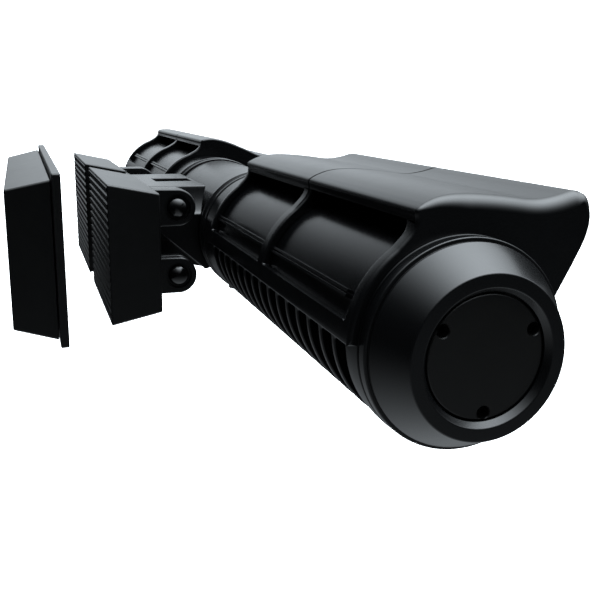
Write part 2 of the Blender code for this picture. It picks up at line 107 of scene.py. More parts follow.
# Hood section, (y, z) about the rotor line
RAIL_ANGLES = (172.5, 162.0)
SHOULDER_ANGLE = 121.0
UNDERSIDE = 0.0244
WEB = (0.0017, 0.0042)            # wall under the top plate, between pocket and duct
WEB_FOOT_Z = 0.0180
SILL_Z = 0.0089
LINTEL_Z = 0.0233
RISE = [(-0.0102, 0.0211), (-0.0089, 0.0223), (-0.0080, 0.0236), (-0.0077, 0.0248), (-0.0078, 0.0259)]
CORNER = [(-0.0077, 0.0264), (-0.0074, 0.0268), (-0.0068, 0.0271)]
TOP = [(-0.0068, 0.0271), (-0.0052, 0.0277), (-0.0025, 0.0283), (0.0010, 0.0284), (0.0050, 0.0280),
       (0.0097, 0.0272), (0.0140, 0.0263), (0.0175, 0.0255), (0.0205, 0.0252), (0.0238, 0.0254),
       (0.0262, 0.0258), (0.0277, 0.0260)]
NOSE = [(0.0277, 0.0260), (0.0293, 0.0255), (0.0302, 0.0243), (0.0304, 0.0225), (0.0302, 0.0200),
        (0.0290, 0.0163), (0.0262, 0.0116)]
NOSE_FOOT_ANGLE = 14.3
SEAM_HALF = (0.00012, 0.00045)    # half gap of the joint round the tube and across the top
RIM_TOP = 0.0031                  # rounding of the hood's end along the top plate, at its largest
RIM_TIP = 0.0006                  # and at the tip of the nose
RIM_INNER = 0.0008                # most that the end next to the motor takes

# Magnet mount
BLOCK_X = (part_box("near_pad")[0].x - GAP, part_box("near_pad")[1].x + GAP)
BLOCK_Y = (0.0001, 0.0150)
BLOCK_HALF_Z = (0.0206, 0.0176)
PAD_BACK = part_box("near_pad")[1].y
PAD_INSET = 0.0005
LIP = 0.0002                      # rounding round the mouths of the magnet cases
EAR_X = (0.0423, 0.0460)
EAR_LEVELS = (("upper", 0.0103), ("lower", -0.0117))
EAR_TIP_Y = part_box("near_magnet_case")[1].y
EAR_HALF = 0.0059
EAR_CENTRE_Y = EAR_TIP_Y - EAR_HALF
LUG_X = (0.0382, 0.0420)
BEAM_Y = (0.0156, 0.0186)
SADDLE_TOP = 0.0149
BEAM_Z = (-0.0165, SADDLE_TOP)
SADDLE_HALF_X = (0.0235, 0.0275)  # at the top, and from the flare's foot down
SADDLE_CORE_X = 0.0225
FLARE_Z = 0.0055
SADDLE_R = HOUSING_R + GAP
SADDLE_WRAP = (158.0, 217.0)
DAMPER_R = 0.0021
DAMPER_HOLE_R = 0.0024
DAMPER_HEAD_R = 0.0033
POCKET_R = 0.0042
POCKET_DEPTH = 0.0012
PAD_RIBS = 17
PAD_GROOVE = 0.0004
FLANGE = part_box("dry_flange")
DRY_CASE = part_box("dry_magnet_case")
DRY_DROP = 0.0008                 # the dry side sits this much lower than the wet side
DRY_HALF_X = (0.0702, 0.0668)     # at the flange, at the outer face
DRY_HALF_Z = (0.0228, 0.0199)
BLOCK_CORNER = 0.0007
BLOCK_EDGE = 0.0005


# Outlines


def polar(radius, degrees):
    angle = math.radians(degrees)
    return (radius * math.cos(angle), radius * math.sin(angle))


def arc(radius, start, end, step=3.0):
    count = max(1, round(abs(end - start) / step))
    return [polar(radius, start + (end - start) * i / count) for i in range(count + 1)]


def shifted(outline, dy, dz):
    return [(y + dy, z + dz) for y, z in outline]


def flowing(points, steps=5):
    """Smooth open curve through the points."""
    ends = [tuple(2 * a - b for a, b in zip(points[0], points[1])),
            tuple(2 * a - b for a, b in zip(points[-1], points[-2]))]
    row = [ends[0], *points, ends[1]]
    curve = []
    for a, b, c, d in zip(row, row[1:], row[2:], row[3:]):
        for i in range(steps):
            t = i / steps
            curve.append(tuple(0.5 * (2 * q + (r - p) * t + (2 * p - 5 * q + 4 * r - s) * t * t
                                      + (3 * q - p - 3 * r + s) * t ** 3)
                               for p, q, r, s in zip(a, b, c, d)))
    return curve + [tuple(points[-1])]


def rounded(outline, radii, steps=4):
    """Closed outline with its corners turned into arcs; one radius, or one for each corner."""
    if not isinstance(radii, (list, tuple)):
        radii = [radii] * len(outline)
    out = []
    for i, corner in enumerate(outline):
        p = Vector(corner)
        a = Vector(outline[i - 1]) - p
        b = Vector(outline[(i + 1) % len(outline)]) - p
        angle = a.angle(b)
        if radii[i] <= 0 or angle > math.radians(176):
            out.append(tuple(corner))
            continue
        reach = min(radii[i] / math.tan(angle / 2), 0.46 * a.length, 0.46 * b.length)
        radius = reach * math.tan(angle / 2)
        a.normalize()
        b.normalize()
        centre = p + (a + b).normalized() * (radius / math.sin(angle / 2))
        first, last = p + a * reach - centre, p + b * reach - centre
        sweep = first.angle(last)
        for k in range(steps + 1):
            t = k / steps
            spoke = (math.sin((1 - t) * sweep) * first + math.sin(t * sweep) * last) / math.sin(sweep)
            out.append(tuple(centre + spoke))
    return out


def inward(outline):
    """Unit normals of a closed outline that point into it."""
    area = sum(a[0] * b[1] - b[0] * a[1] for a, b in zip(outline, outline[1:] + outline[:1]))
    turn = 1 if area > 0 else -1
    normals = []
    for i in range(len(outline)):
        a, b, c = (Vector(outline[(i + k) % len(outline)]) for k in (-1, 0, 1))
        d = (b - a).normalized() + (c - b).normalized()
        normals.append(Vector((-d.y, d.x)).normalized() * turn)
    return normals


# Shapes


def loft(rings, ladder=False):
    """Closed solid through rings of 3-D points that all have the same count.

    A ladder's rings run up one side and down the other, and its end faces are rungs between the sides.
    """
    bm = bmesh.new()
    rows = [[bm.verts.new(p) for p in ring] for ring in rings]
    count = len(rings[0])
    for a, b in zip(rows, rows[1:]):
        for i in range(count):
            bm.faces.new((a[i], a[(i + 1) % count], b[(i + 1) % count], b[i]))
    for row in (rows[0], rows[-1]):
        if not ladder:
            bm.faces.new(row)
            continue
        for i in range(count // 2 - 1):
            bm.faces.new((row[i], row[i + 1], row[count - 2 - i], row[count - 1 - i]))
    return bm


def turned(profile, segments=TURN):
    """Solid of revolution about X from a loop of (x, r) points; r = 0 lies on the axis."""
    bm = bmesh.new()
    rings = []
    for x, r in profile:
        if abs(r) < 1e-7:
            rings.append([bm.verts.new((x, 0, 0))])
            continue
        angles = [2 * math.pi * i / segments for i in range(segments)]
        rings.append([bm.verts.new((x, r * math.cos(a), r * math.sin(a))) for a in angles])
    for ring, other in zip(rings, rings[1:] + rings[:1]):
        if len(ring) == 1 and len(other) == 1:
            continue
        for i in range(segments):
            j = (i + 1) % segments
            corners = [ring[i % len(ring)], ring[j % len(ring)], other[j % len(other)], other[i % len(other)]]
            bm.faces.new(list(dict.fromkeys(corners)))
    return bm


def prism(outline, x):
    """Outline in (y, z), extruded along X."""
    return loft([[(s, y, z) for y, z in outline] for s in x])


def unfolded(inset, outline):
    """Inset outline without the loops that appear where it turns tighter than the inset."""
    count = len(outline)
    flat = list(inset)
    for _ in range(3):
        bad = [(flat[(i + 1) % count] - flat[i]).dot(outline[(i + 1) % count] - outline[i]) <= 0
               for i in range(count)]
        i = 0
        while i < count:
            if not bad[i]:
                i += 1
                continue
            last = i
            while last + 1 < count and bad[last + 1]:
                last += 1
            group = list(range(i, min(last + 2, count)))
            middle = sum((flat[k] for k in group), Vector((0, 0))) / len(group)
            core = sum((outline[k] for k in group), Vector((0, 0))) / len(group)
            for k in group:
                flat[k] = middle + (outline[k] - core) * 0.05
            i = last + 1
    return flat


def soft_prism(outline, x, edges, steps=4):
    """Prism whose end faces have rounded rims; edges is one radius, or a list of radii for each end."""
    if not isinstance(edges, (list, tuple)):
        edges = [[edges] * len(outline)] * 2
    normals = inward(outline)
    points = [Vector(p) for p in outline]
    rings = []
    for end, way, radii in ((x[0], 1, edges[0]), (x[1], -1, edges[1])):
        row = []
        for k in range(steps + 1):
            phi = math.radians(90 * k / steps)
            inset = [p + n * r * (1 - math.cos(phi)) for p, n, r in zip(points, normals, radii)]
            inset = unfolded(inset, points)
            row.append([(end + way * r * (1 - math.sin(phi)), p.x, p.y) for p, r in zip(inset, radii)])
        rings += row[::-1] if way == 1 else row
    return loft(rings)


def block(x, y, z):
    return prism([(y[0], z[0]), (y[1], z[0]), (y[1], z[1]), (y[0], z[1])], x)


def merge(parts):
    whole = bmesh.new()
    for part in parts:
        scratch = bpy.data.meshes.new("scratch")
        part.to_mesh(scratch)
        part.free()
        whole.from_mesh(scratch)
        bpy.data.meshes.remove(scratch)
    return whole


def moved(bm, offset):
    bmesh.ops.translate(bm, vec=offset, verts=bm.verts)
    return bm


def rotated(bm, degrees, axis):
    bmesh.ops.transform(bm, matrix=Matrix.Rotation(math.radians(degrees), 4, axis), verts=bm.verts)
    return bm


# Pieces


def raw(name, bm, side=1):
    if side < 0:
        bmesh.ops.transform(bm, matrix=Matrix.Scale(-1, 4, (1, 0, 0)), verts=bm.verts)
    bmesh.ops.recalc_face_normals(bm, faces=bm.faces)
    mesh = bpy.data.meshes.new(name)
    bm.to_mesh(mesh)
    bm.free()
    obj = bpy.data.objects.new(name, mesh)
    bpy.context.scene.collection.objects.link(obj)
    return obj


def flatten(obj):
    """Applies the object's modifiers."""
    shaped = obj.evaluated_get(bpy.context.evaluated_depsgraph_get())
    mesh = bpy.data.meshes.new_from_object(shaped)
    obj.modifiers.clear()
    old, obj.data = obj.data, mesh
    bpy.data.meshes.remove(old)


def carve(obj, bm, operation='DIFFERENCE', side=1):
    tool = raw("tool", bm, side)
    step = obj.modifiers.new("carve", 'BOOLEAN')
    step.operation = operation
    step.object = tool
    flatten(obj)
    bpy.data.objects.remove(tool)


def attach(obj, bm, side=1):
    """Adds a closed shape to an object's mesh, sunk a little into it."""
    if side < 0:
        bmesh.ops.transform(bm, matrix=Matrix.Scale(-1, 4, (1, 0, 0)), verts=bm.verts)
    bmesh.ops.recalc_face_normals(bm, faces=bm.faces)
    scratch = bpy.data.meshes.new("scratch")
    bm.to_mesh(scratch)
    bm.free()
    whole = bmesh.new()
    whole.from_mesh(obj.data)
    whole.from_mesh(scratch)
    whole.to_mesh(obj.data)
    whole.free()
    bpy.data.meshes.remove(scratch)


def soften(obj, width, segments=3, angle=38.0, spare=None, crisp=None):
    """Small rounding along every sharp edge but short ones picked by spare() and any picked by crisp()."""
    bm = bmesh.new()
    bm.from_mesh(obj.data)
    bmesh.ops.remove_doubles(bm, verts=bm.verts, dist=0.0001)
    limit = math.radians(angle)
    edges = [edge for edge in bm.edges if edge.is_manifold and edge.calc_face_angle() > limit
             and not (spare and edge.calc_length() < 0.008 and all(spare(vert.co) for vert in edge.verts))
             and not (crisp and all(crisp(vert.co) for vert in edge.verts))]
    bmesh.ops.bevel(bm, geom=edges, offset=width, offset_type='OFFSET', segments=segments, profile=0.5,
                    affect='EDGES', clamp_overlap=False)
    bmesh.ops.remove_doubles(bm, verts=bm.verts, dist=0.00001)
    bm.to_mesh(obj.data)
    bm.free()


def dress(obj, look, body, replaced=(), tilt=0.0, about_axis=False, sharp=32.0):
    """Smooth shading, place, material and body of a finished piece."""
    if about_axis:
        obj.data.transform(Matrix.Translation(AXIS) @ Matrix.Rotation(tilt, 4, 'X'))
    obj.data.shade_smooth()
    obj.data.set_sharp_from_angle(angle=math.radians(sharp))
    even = obj.modifiers.new("even", 'WEIGHTED_NORMAL')
    even.keep_sharp = True
    even.weight = 60
    flatten(obj)
    obj.data.materials.clear()
    obj.data.materials.append(look)
    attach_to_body(obj, body)
    if replaced:
        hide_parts(*replaced)
    return obj


# Materials


def node(tree, kind, **sockets):
    made = tree.nodes.new(kind)
    for key, value in sockets.items():
        made.inputs[key.replace("_", " ")].default_value = value
    return made


def math_node(tree, operation, a, b):
    made = tree.nodes.new("ShaderNodeMath")
    made.operation = operation
    for i, value in enumerate((a, b)):
        if isinstance(value, (int, float)):
            made.inputs[i].default_value = value
        else:
            tree.links.new(value, made.inputs[i])
    return made.outputs[0]


def spread(tree, value, low, high, to_low, to_high):
    made = tree.nodes.new("ShaderNodeMapRange")
    tree.links.new(value, made.inputs["Value"])
    for key, number in (("From Min", low), ("From Max", high), ("To Min", to_low), ("To Max", to_high)):
        made.inputs[key].default_value = number
    return made.outputs["Result"]


def material(name, colour, roughness, grain=0.00012, relief=0.0000015, mottle=0.12, smear=0.014,
             wear=0.3, metallic=0.0, ior=1.5, stretch=(1, 1, 1), coat=0.0):
    """Moulded surface: fine spark-eroded grain, uneven gloss, slight colour mottling, paler worn edges."""
    made = bpy.data.materials.new(name)
    made.use_nodes = True
    tree = made.node_tree
    shader = tree.nodes["Principled BSDF"]
    shader.inputs["Metallic"].default_value = metallic
    shader.inputs["IOR"].default_value = ior
    shader.inputs["Coat Weight"].default_value = coat
    place = tree.nodes.new("ShaderNodeTexCoord")
    scaled = tree.nodes.new("ShaderNodeMapping")
    scaled.inputs["Scale"].default_value = stretch
    tree.links.new(place.outputs["Object"], scaled.inputs["Vector"])

    fine = node(tree, "ShaderNodeTexNoise", Scale=0.35 / grain, Detail=3.0, Roughness=0.6)
    cloudy = node(tree, "ShaderNodeTexNoise", Scale=45.0, Detail=4.0, Roughness=0.55)
    smudge = node(tree, "ShaderNodeTexNoise", Scale=190.0, Detail=6.0, Roughness=0.7, Distortion=0.6)
    for texture in (fine, cloudy, smudge):
        tree.links.new(scaled.outputs["Vector"], texture.inputs["Vector"])

    edges = tree.nodes.new("ShaderNodeNewGeometry")
    worn = spread(tree, edges.outputs["Pointiness"], 0.53, 0.62, 0.0, wear)
    worn = math_node(tree, 'MULTIPLY', worn, spread(tree, smudge.outputs["Fac"], 0.42, 0.66, 0.15, 1.0))

    tone = node(tree, "ShaderNodeMix")
    tone.data_type = 'RGBA'
    tone.inputs["A"].default_value = (*(c * (1 - mottle) for c in colour), 1)
    tone.inputs["B"].default_value = (*(c * (1 + mottle) for c in colour), 1)
    tree.links.new(spread(tree, cloudy.outputs["Fac"], 0.32, 0.68, 0.0, 1.0), tone.inputs["Factor"])
    pale = node(tree, "ShaderNodeMix")
    pale.data_type = 'RGBA'
    pale.inputs["B"].default_value = (*(min(1, c * 2.2 + 0.004) for c in colour), 1)
    tree.links.new(tone.outputs["Result"], pale.inputs["A"])
    tree.links.new(worn, pale.inputs["Factor"])
    tree.links.new(pale.outputs["Result"], shader.inputs["Base Color"])

    gloss = spread(tree, smudge.outputs["Fac"], 0.3, 0.7, roughness - smear, roughness + smear)
    patches = spread(tree, cloudy.outputs["Fac"], 0.3, 0.7, -smear / 2, smear / 2)
    gloss = math_node(tree, 'ADD', gloss, patches)
    tree.links.new(math_node(tree, 'SUBTRACT', gloss, math_node(tree, 'MULTIPLY', worn, 0.08)),
                   shader.inputs["Roughness"])

    bump = node(tree, "ShaderNodeBump", Strength=1.0, Distance=relief)
    tree.links.new(fine.outputs["Fac"], bump.inputs["Height"])
    tree.links.new(bump.outputs["Normal"], shader.inputs["Normal"])
    return made


LOOKS = {
    "shell": material("shell_plastic", (0.0018, 0.0020, 0.0023), 0.25),
    "cage": material("cage_plastic", (0.0016, 0.0018, 0.0021), 0.20, ior=1.36, wear=0.2),
    "pad": material("pad_rubber", (0.0012, 0.0012, 0.0013), 0.26, grain=0.0002, relief=0.000004, wear=0.2,
                    ior=1.25),
    "pin": material("pin_rubber", (0.0012, 0.0012, 0.0013), 0.19, grain=0.0002, relief=0.000002, wear=0.2),
    "hood": material("hood_plastic", (0.0018, 0.0020, 0.0023), 0.23),
    "cover": material("cover_plastic", (0.0026, 0.0026, 0.0024), 0.31),
    "case": material("case_plastic", (0.0014, 0.0015, 0.0016), 0.29),
    "impeller": material("impeller_plastic", (0.010, 0.011, 0.012), 0.42),
    "rubber": material("black_rubber", (0.0014, 0.0014, 0.0015), 0.31, grain=0.0002, relief=0.000004,
                       wear=0.2),
    "magnet": material("nickel_plate", (0.42, 0.42, 0.41), 0.30, relief=0.000004, mottle=0.06, metallic=1.0),
    "copper": material("copper_winding", (0.55, 0.25, 0.12), 0.38, grain=0.0006, relief=0.00008, mottle=0.15,
                       metallic=1.0),
    "steel": material("stainless_steel", (0.50, 0.50, 0.51), 0.26, relief=0.000004, mottle=0.05,
                      metallic=1.0, stretch=(1, 1, 8)),
    "ceramic": material("white_ceramic", (0.78, 0.77, 0.74), 0.22, relief=0.000003, mottle=0.03, wear=0.0),
}


# Motor and rotor


def make_motor():
    half = [(MOTOR_END, HOUSING_R), (MOTOR_END, SPIGOT_R), (SPIGOT_END, SPIGOT_R), (SPIGOT_END, HOUSING_BORE)]
    profile = [(-x, r) for x, r in reversed(half)] + half
    shoulder, lip = 0.0007, 0.0004
    radii = [lip, lip, 0, shoulder, shoulder, 0, lip, lip]
    housing = raw("motor_shell", turned(rounded(profile, radii)))
    dress(housing, LOOKS["shell"], "holder", ["motor_housing"], about_axis=True)
    gland = rotated(turned(rounded(GLAND, lip), 48), 90, 'Y')
    gland = raw("inlet_gland", moved(gland, (0, 0, -HOUSING_R - GAP)))
    dress(gland, LOOKS["rubber"], "holder", ["cable_gland"], about_axis=True)


# Cages


def slot_tools():
    """Slots round the underside of the tube, with rounded corners."""
    pitch = (SLOTS[1] - SLOTS[0]) / SLOT_COUNT
    steps, lip, reach = 36, 0.0004, 0.002

    def plan(middle, radius, flare):
        corner = SLOT_CORNER + flare
        flat = SLOT_WIDTH / 2 - SLOT_CORNER
        bend = math.degrees(corner / TUBE_R)
        start = SLOT_ANGLES[0] + math.degrees(SLOT_CORNER / TUBE_R)
        end = SLOT_ANGLES[1] - math.degrees(SLOT_CORNER / TUBE_R)
        turns = [math.radians(90.0 * k / 6) for k in range(6)]
        side = [(flat + corner * math.sin(t), start - bend * math.cos(t)) for t in turns]
        side += [(flat + corner, start + (end - start) * k / steps) for k in range(steps + 1)]
        side += [(flat + corner * math.sin(t), end + bend * math.cos(t)) for t in reversed(turns)]
        return [(middle - w, *polar(radius, a)) for w, a in side] + \
               [(middle + w, *polar(radius, a)) for w, a in reversed(side)]

    tools = []
    for i in range(SLOT_COUNT):
        middle = SLOTS[0] + pitch * (i + 0.5)
        levels = [(TUBE_BORE - reach, 0)]
        for k in range(5):
            phi = math.radians(22.5 * k)
            levels.append((TUBE_R - lip * (1 - math.sin(phi)), lip * (1 - math.cos(phi))))
        levels.append((TUBE_R + reach, lip + OVERLAP))
        tools.append(loft([plan(middle, radius, flare) for radius, flare in levels], ladder=True))
    return tools


def make_grille(word, side):
    band, edge, reach = TUBE_R + 0.0002, 0.0004, 0.0015
    profile = [(CAGE[0], TUBE_BORE), (CAGE[0], TUBE_R), (CAGE[1] - 0.0036, TUBE_R), (CAGE[1] - 0.0034, band),
               (CAGE[1], band), (CAGE[1], TUBE_BORE)]
    profile = rounded(profile, [edge, edge, 0, 0, edge, edge], 3)
    grille = raw(f"{word}_grille", turned(profile, 96), side)
    carve(grille, merge(slot_tools()), side=side)
    mouth = arc(TUBE_BORE - reach, *OUTLET_ANGLES) + arc(TUBE_R + reach, *OUTLET_ANGLES[::-1])
    carve(grille, prism(mouth, (INNER_RIB_END, OUTER_RIB_START)), side=side)
    root, past = 0.0006, 0.0002
    for x in ((INNER_RIB_END, MID_RIB[0]), (MID_RIB[1], OUTER_RIB_START - TRIM_STOP)):
        for angles in TRIM_ANGLES:
            outline = arc(TUBE_R - root, *angles, 0.45) + arc(TUBE_R + TRIM_HEIGHT, *angles[::-1], 0.3)
            attach(grille, prism(rounded(outline, 0.0003, 3), (x[0] - past, x[1] + past)), side)
    dress(grille, LOOKS["cage"], f"{word}_cage", [f"{word}_cage"], TILT[side], True)


def hood_section():
    """Closed outline of the hood, with the rounding that each point's end rim takes."""
    rows = [(p, 0.0009) for p in arc(HOOD_R, RAIL_ANGLES[0], SHOULDER_ANGLE)]
    rows += [(p, 0.0008) for p in flowing([rows[-1][0], *RISE], 3)[1:]]
    rows += [(p, 0.0007) for p in CORNER[:-1]]
    top = flowing(TOP, 4)
    growth = (RIM_TOP - RIM_TIP) / 16
    rows += [(p, min(RIM_INNER + growth * i, RIM_TOP)) for i, p in enumerate(top)]
    nose = flowing(NOSE, 4)[1:]
    rows += [(p, max(RIM_TOP - growth * i, RIM_TIP)) for i, p in enumerate(nose)]
    rows += [(polar(HOOD_R, NOSE_FOOT_ANGLE), RIM_TIP)]
    rows += [(p, 0.0003) for p in arc(HOOD_BORE, NOSE_FOOT_ANGLE, RAIL_ANGLES[0])]
    outer = [r for p, r in rows]
    return [p for p, r in rows], [[min(r, RIM_INNER) for r in outer], outer]


def window_tool(x, top_radii):
    """Pocket between two ribs, with rounded corners under the top plate and at the rail."""
    low_r, depth, reach = 0.0006, 0.0190, 0.0400

    def ring(station, drop, lift):
        rail = RAIL_ANGLES[1] - math.degrees(lift / HOOD_R)
        return [(station, *polar(depth, rail)), (station, *polar(reach, rail)),
                (station, -reach, UNDERSIDE - drop), (station, WEB[0], UNDERSIDE - drop),
                (station, WEB[0], WEB_FOOT_Z)]

    rings = []
    for end, way, top_r in ((x[0], 1, top_radii[0]), (x[1], -1, top_radii[1])):
        row = []
        for k in range(7):
            phi = math.radians(15 * k)
            row.append(ring(end + way * top_r * (1 - math.sin(phi)), top_r * (1 - math.cos(phi)),
                            low_r * (1 - math.cos(phi))))
        rings += row[::-1] if way == 1 else row
    return loft(rings)


def duct_outline():
    reach = 0.0400
    roof = flowing([(0.0097, 0.0244), (0.0164, 0.0230), (0.0205, 0.0227), (0.0250, LINTEL_Z)], 4)
    return [(0.0140, SILL_Z), (WEB[1], WEB_FOOT_Z), (WEB[1], UNDERSIDE), *roof,
            (reach, LINTEL_Z), (reach, SILL_Z)]


def seam_region(outer):
    """One side of the parting plane; the joint is open across the top and tight round the tube."""
    way = 1 if outer else -1
    past, reach = 0.01, 0.05
    edge = HOOD[1] + past if outer else HOOD[0] - past
    tight, wide = SEAM_HALF
    rings = []
    for z, half in ((-0.03, tight), (0.0195, tight), (0.0205, wide), (0.04, wide)):
        wall = SEAM_X + way * half
        rings.append([(wall, -reach, z), (wall, reach, z), (edge, reach, z), (edge, -reach, z)])
    return loft(rings)


def make_hood(word, side):
    outline, rims = hood_section()
    hood = raw(f"{word}_hood_outer", soft_prism(outline, HOOD, rims), side)
    small, large = 0.0009, 0.0026
    carve(hood, window_tool((INNER_RIB_END, MID_RIB[0]), (small, small)), side=side)
    carve(hood, window_tool((MID_RIB[1], OUTER_RIB_START), (small, large)), side=side)
    carve(hood, prism(duct_outline(), (INNER_RIB_END, OUTER_RIB_START)), side=side)

    def finished(co):
        """True on the parting plane and on the end rims, which are rounded already."""
        if not INNER_RIB_END - 0.0012 < abs(co.x) < OUTER_RIB_START + 0.0012:
            return True
        return abs(abs(co.x) - SEAM_X) < 0.0006

    def rail_edge(co):
        """True along the upper edge of the rail behind the tube."""
        turn = math.degrees(math.atan2(co.z, co.y))
        return math.hypot(co.y, co.z) > HOOD_R - 0.0003 and abs(turn - RAIL_ANGLES[1]) < 0.6

    inner = hood.copy()
    inner.data = hood.data.copy()
    inner.name = f"{word}_hood_inner"
    bpy.context.scene.collection.objects.link(inner)
    for obj, outer, replaced in ((hood, True, "outer_hood"), (inner, False, "inner_hood")):
        carve(obj, seam_region(outer), 'INTERSECT', side)
        soften(obj, 0.0005, 3, spare=finished, crisp=rail_edge)
        dress(obj, LOOKS["hood"], f"{word}_cage", [f"{word}_{replaced}"], TILT[side], True)


def make_guard(word, side):
    inset = 0.0016
    low, high = SILL_Z + GAP, LINTEL_Z - GAP
    front = flowing([(0.0247 - inset, low), (0.0284 - inset, 0.0160), (0.0300 - inset, high)], 5)
    back = [(y - VANE_DEPTH, z) for y, z in reversed(front)]
    x = (INNER_RIB_END + GAP, OUTER_RIB_START - GAP)
    guard = raw(f"{word}_outlet_guard", prism(front + back, x), side)
    pitch = (x[1] - x[0] - VANE_WIDTH) / (VANE_COUNT - 1)
    gaps = []
    for i in range(VANE_COUNT - 1):
        start = x[0] + VANE_WIDTH + i * pitch
        gap_x = (start, start + pitch - VANE_WIDTH)
        gaps.append(block(gap_x, (0.015, 0.035), (low + GUARD_FRAME, high - GUARD_FRAME)))
    carve(guard, merge(gaps), side=side)
    soften(guard, 0.0003, 2)
    dress(guard, LOOKS["shell"], f"{word}_cage", [f"{word}_vane_guard"], TILT[side], True)


def make_collar(word, side):
    """Turning collar between motor and cage: two raised edges with a groove between them."""
    a, b = LOCK_RING
    deep = LOCK_RING_R - 0.0006
    profile = [(a, SPIGOT_R + GAP), (a, LOCK_RING_R), (a + 0.0011, LOCK_RING_R), (a + 0.0013, deep),
               (b - 0.0013, deep), (b - 0.0011, LOCK_RING_R), (b, LOCK_RING_R), (b, SPIGOT_R + GAP)]
    radii = [0.0002, 0.0004, 0.0003, 0.0002, 0.0002, 0.0003, 0.0004, 0.0002]
    ring = raw(f"{word}_turn_collar", turned(rounded(profile, radii, 3)), side)
    dress(ring, LOOKS["shell"], f"{word}_cage", [f"{word}_lock_ring"], TILT[side], True)


def make_cap(word, side):
    start, wall = 0.1662, 0.0022
    seat = CAP_FACE - 0.0040
    profile = [(start, SPIGOT_R), (CAP_START, SPIGOT_R), (CAP_START, CAP_R), (CAP_SKIRT_END, CAP_R),
               (CAP_SKIRT_END, CAP_R - 0.0010), (CAP_SHOULDER, CAP_R - 0.0008), (CAP_FACE, CAP_FACE_R),
               (CAP_FACE, COVER_R + 0.0013), (CAP_FACE - 0.0013, COVER_R + GAP), (seat, COVER_R + GAP),
               (seat, COVER_R - wall), (CAP_SHOULDER - 0.0010, SPIGOT_R - wall), (start, SPIGOT_R - wall)]
    radii = [0.0003, 0, 0.0003, 0.0003, 0.0001, 0.0003, 0.0004, 0.0004, 0.0003, 0, 0, 0, 0]
    cap = raw(f"{word}_cap_shell", turned(rounded(profile, radii)), side)
    dress(cap, LOOKS["shell"], f"{word}_cap", [f"{word}_end_cap"], about_axis=True)

    face, boss_r, well_r = CAP_FACE - 0.0013, 0.0064, 0.0046
    boss_end, well_floor = 0.1705, 0.1761
    profile = [(face, 0), (face, COVER_R), (seat + GAP, COVER_R), (seat + GAP, boss_r), (boss_end, boss_r),
               (boss_end, well_r), (well_floor, well_r), (well_floor, 0)]
    cover = raw(f"{word}_cap_disc", turned(rounded(profile, [0, 0.0004, 0, 0, 0, 0, 0, 0])), side)
    holes = []
    floor, top, mouth_r = face - 0.0024, face + 0.002, 0.0018
    for degrees in COVER_HOLES:
        rim = [(floor, 0), (floor, COVER_HOLE_R), (face - 0.0002, COVER_HOLE_R), (face + 0.0005, mouth_r),
               (top, mouth_r), (top, 0)]
        holes.append(moved(turned(rim, 28), (0, *polar(COVER_HOLE_PITCH_R, degrees))))
    carve(cover, merge(holes), side=side)
    dress(cover, LOOKS["cover"], f"{word}_cap", [f"{word}_bearing_cover"], about_axis=True)


# Magnet mount


def ear_outline(root_y, height, radius=EAR_HALF):
    tip = shifted(arc(radius, -90, 90, 7.5), EAR_CENTRE_Y, height)
    return [(root_y, height + radius), (root_y, height - radius)] + tip


def ear_hole(radius, x, height):
    profile = [(x[0], 0), (x[0], radius), (x[1], radius), (x[1], 0)]
    return moved(turned(profile, 40), (0, EAR_CENTRE_Y, height))


def flare_tool():
    """Wedge that leaves the side of the saddle sloping out from its top edge in a hollow curve."""
    top, foot = SADDLE_HALF_X
    curve = [(top - 0.0010, SADDLE_TOP + 0.0030), (top, SADDLE_TOP), (top + 0.0006, 0.0120),
             (top + 0.0017, 0.0087), (foot, FLARE_Z), (foot + 0.0050, FLARE_Z - 0.0008)]
    plan = flowing(curve, 3) + [(foot + 0.0050, SADDLE_TOP + 0.0030)]
    return loft([[(x, y, z) for x, z in plan] for y in (BEAM_Y[1], 0.0500)])


def make_cradle():
    root = BEAM_Y[0]
    wrap = shifted(arc(SADDLE_R, *SADDLE_WRAP), AXIS_Y, AXIS_Z)
    top = [(root, SADDLE_TOP), (0.0384, SADDLE_TOP)]
    under = [(0.0370, -0.0140), (0.0215, -0.0005), (root, -0.0005)]
    cradle = raw("cradle", prism(top + wrap + under, (-SADDLE_HALF_X[1], SADDLE_HALF_X[1])))
    core = [(root, 0.0100), (wrap[0][0], 0.0060), *wrap[1:-1], (0.0372, -0.0140), (0.0215, -0.0110),
            (root, -0.0110)]
    carve(cradle, prism(core, (-SADDLE_CORE_X, SADDLE_CORE_X)), 'UNION')
    for side in (1, -1):
        carve(cradle, flare_tool(), side=side)
    arm_slot = block((-0.0060, 0.0060), (0.0240, 0.0372), (0.0020, 0.03))
    carve(cradle, arm_slot)
    carve(cradle, block((-LUG_X[1], LUG_X[1]), BEAM_Y, BEAM_Z), 'UNION')
    for side in (1, -1):
        for level, height in EAR_LEVELS:
            carve(cradle, prism(ear_outline(root + 0.0010, height), LUG_X), 'UNION', side)
            carve(cradle, ear_hole(DAMPER_HOLE_R, (0.035, 0.045), height), side=side)
    soften(cradle, 0.0004)
    dress(cradle, LOOKS["shell"], "holder", ["motor_cradle"])


def make_damper(word, level, side, height):
    seat = EAR_X[1] - POCKET_DEPTH + GAP
    tail = LUG_X[0] - GAP
    height_of_head = 0.0026
    turns = [math.radians(a) for a in range(0, 90, 10)]
    dome = [(seat + height_of_head * math.sin(t), DAMPER_HEAD_R * math.cos(t)) for t in turns]
    profile = [(tail - 0.0020, 0), (tail - 0.0018, 0.0016), (tail - 0.0012, 0.0026), (tail, 0.0030),
               (tail, DAMPER_R), (seat, DAMPER_R), *dome, (seat + height_of_head, 0)]
    pin = moved(turned(profile, 36), (0, EAR_CENTRE_Y, height))
    obj = raw(f"{word}_{level}_pin", pin, side)
    dress(obj, LOOKS["pin"], "holder", [f"{word}_{level}_damper"])


